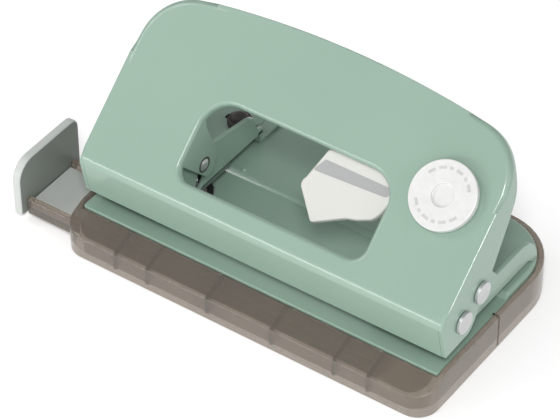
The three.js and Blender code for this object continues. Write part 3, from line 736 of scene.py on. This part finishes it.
def lock_knob(looks):
    """The round knob, with a dished face and a ring of raised dashes."""
    radius, height = 10.6, 2.55
    profile = [
        (0, -7.6), (1.6, -7.6), (1.6, -6.3), (2.6, -6.3), (2.6, 0.3), (radius - 0.7, 0.3),
        (radius - 0.2, 0.55), (radius, 0.9), (radius, height - 0.1), (radius - 0.1, height + 0.15),
        (radius - 0.45, height + 0.3),
        (3.85, height + 0.3), (3.65, height + 0.24), (3.5, height + 0.05), (3.4, height - 0.55),
        (3.1, height - 0.7), (0, height - 0.6),
    ]
    bm = turned(profile, Matrix.Translation((*KNOB, 0)), 72)
    top = height + 0.3
    for start, sweep in DASHES:
        outer = arc(*KNOB, 8.5, start, start + sweep, 5)
        inner = arc(*KNOB, 7.6, start + sweep, start, 5)
        dash = soften(prism([outer + inner], top - 0.05, top + 0.09), 0.04, 1)
        join(bm, second_finish(dash))
    bmesh.ops.transform(bm, matrix=PLATE, verts=bm.verts[:])
    piece(bm, "lock_disc", "lock", looks, "white_plastic", "lock_knob")


def lever_outline():
    """The lever from above: round about the knob, with a tail that narrows to its tip."""
    return (
        arc(*KNOB, 5.6, -90, 90, 10) + [(24, 36.6)] + arc(9.6, 31.4, 3, 96, 140, 4)
        + arc(6.4, 21.8, 2.6, 140, 214, 5) + arc(12.2, 13.4, 1.2, 214, 300, 4) + [(21.6, 17.2), (25.0, 18.1)]
        + arc(24, 26, 8, -50, -8, 6) + [(36, 29.4)]
    )


def lock_lever(look, print_look):
    """The lever under the plate, with a plain printed band along its tail."""
    bm = soften(prism([lever_outline()], -6.1, -3.1), 0.75, 5)
    band = (
        arc(29.8, 29.0, 1.6, -75, 75, 6) + arc(8.4, 30.0, 0.6, 75, 160, 3) + arc(6.6, 26.9, 0.6, 160, 285, 4)
    )
    join(bm, second_finish(prism([band], -3.15, -3.06)))
    bmesh.ops.transform(bm, matrix=PLATE, verts=bm.verts[:])
    piece(bm, "lock_arm", "lock", [look, print_look], "white_plastic", "lock_lever")


# ---- carried-over parts ------------------------------------------------------

def dress(node, look):
    """Gives a part that is kept from the frame its finish."""
    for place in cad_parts[node].material_slots:
        place.material = look


# ---- floor, light and camera -------------------------------------------------

def floor():
    """A large pale floor that glows a little, so that it stays light to its far edge."""
    look, tree, surface = shader(
        "pale_floor", Roughness=0.6, Emission_Color=(1, 1, 1, 1), Emission_Strength=0.22,
    )
    colour = tint(tree, grain(tree, 3, 2.0), (0.93, 0.93, 0.93), (0.95, 0.95, 0.95))
    tree.links.new(colour, surface.inputs["Base Color"])
    bm = bmesh.new()
    bmesh.ops.create_grid(bm, x_segments=1, y_segments=1, size=6)
    mesh = bpy.data.meshes.new("floor")
    bm.to_mesh(mesh)
    bm.free()
    mesh.materials.append(look)
    made = bpy.data.objects.new("floor", mesh)
    bpy.context.scene.collection.objects.link(made)


def soft_box(name, place, size, power):
    """A rectangular lamp that is aimed at the punch."""
    target = (0, 0, 0.03)
    lamp = bpy.data.lights.new(name, "AREA")
    lamp.shape = "RECTANGLE"
    lamp.size, lamp.size_y = size
    lamp.energy = power
    made = bpy.data.objects.new(name, lamp)
    made.location = place
    made.rotation_euler = (Vector(target) - Vector(place)).to_track_quat("-Z", "Y").to_euler()
    bpy.context.scene.collection.objects.link(made)


def lights():
    soft_box("key", (0.60, -0.87, 1.30), (0.34, 0.34), 11.5)
    soft_box("front", (0.30, -1.25, 0.40), (1.4, 0.6), 3.2)
    soft_box("front_left_strip", (-0.55, -1.15, 0.16), (0.5, 0.2), 3.5)
    soft_box("right_side", (1.25, 0.05, 0.75), (0.9, 0.7), 3.2)
    soft_box("left", (-0.95, -0.45, 0.95), (0.5, 0.5), 3.6)
    world = bpy.data.worlds.new("room")
    world.use_nodes = True
    back = world.node_tree.nodes["Background"]
    back.inputs["Color"].default_value = (1, 1, 1, 1)
    back.inputs["Strength"].default_value = 0.40
    bpy.context.scene.world = world


def camera():
    """Looks down on the punch from the knob's side of the paper edge."""
    azimuth, elevation, roll = (math.radians(turn) for turn in (35.60, 41.51, 0.56))
    eye = SEAT @ Vector((395.09, -529.48, 633.5))
    ahead = Vector((
        -math.sin(azimuth) * math.cos(elevation),
        math.cos(azimuth) * math.cos(elevation),
        -math.sin(elevation),
    ))
    level = Vector((math.cos(azimuth), math.sin(azimuth), 0))
    down = ahead.cross(level)
    right = level * math.cos(roll) + down * math.sin(roll)
    up = level * math.sin(roll) - down * math.cos(roll)
    lens = bpy.data.cameras.new("camera")
    lens.sensor_width = 36
    lens.lens = 198.3
    lens.clip_start, lens.clip_end = 0.05, 20
    made = bpy.data.objects.new("camera", lens)
    made.matrix_world = Matrix.Translation(eye) @ Matrix((right, up, -ahead)).transposed().to_4x4()
    bpy.context.scene.collection.objects.link(made)
    bpy.context.scene.camera = made


def build():
    camera()
    floor()
    lights()
    bpy.context.scene.view_settings.view_transform = "Standard"
    green, smoke, grey, white = green_enamel(), smoked_plastic(), grey_plastic(), white_plastic()
    steel, tool, rubber = bright_steel(), tool_steel(), black_rubber()
    handle(green)
    base_plate(green)
    for side in (-1, 1):
        name = side_name(side)
        bracket(side, green)
        bumper(side, rubber)
        foot_rivet(side, green)
        # The pins' second finish, black rubber, is painted shade: a dark ring for the gap of the hole round
        # each pin end.
        cross_pin(f"{name}_pivot", "base", PIVOT, side, 2.0, 34.9, [steel, rubber], f"{name}_pivot_pin")
        cross_pin(f"{name}_drive", "handle", DRIVE, side, 1.9, 32.4, [steel, rubber], f"{name}_drive_pin")
        for part in ("guide_plate", "die", "punch_pin"):
            dress(f"{name}_{part}", tool)
        for part in ("guide_rivet", "return_spring"):
            dress(f"{name}_{part}", steel)
    dress("lock_clip", steel)
    # The darker smoke stands for the thicker plastic of the ribs, and is painted shade in the side grooves.
    chip_tray(smoke, smoked_plastic("rib_plastic_and_groove_shade", 2.4))
    gauge(smoke, grey, gauge_plastic())
    lock_knob([knob_face(), knob_mark()])
    lock_lever(white, grey_print())


build()
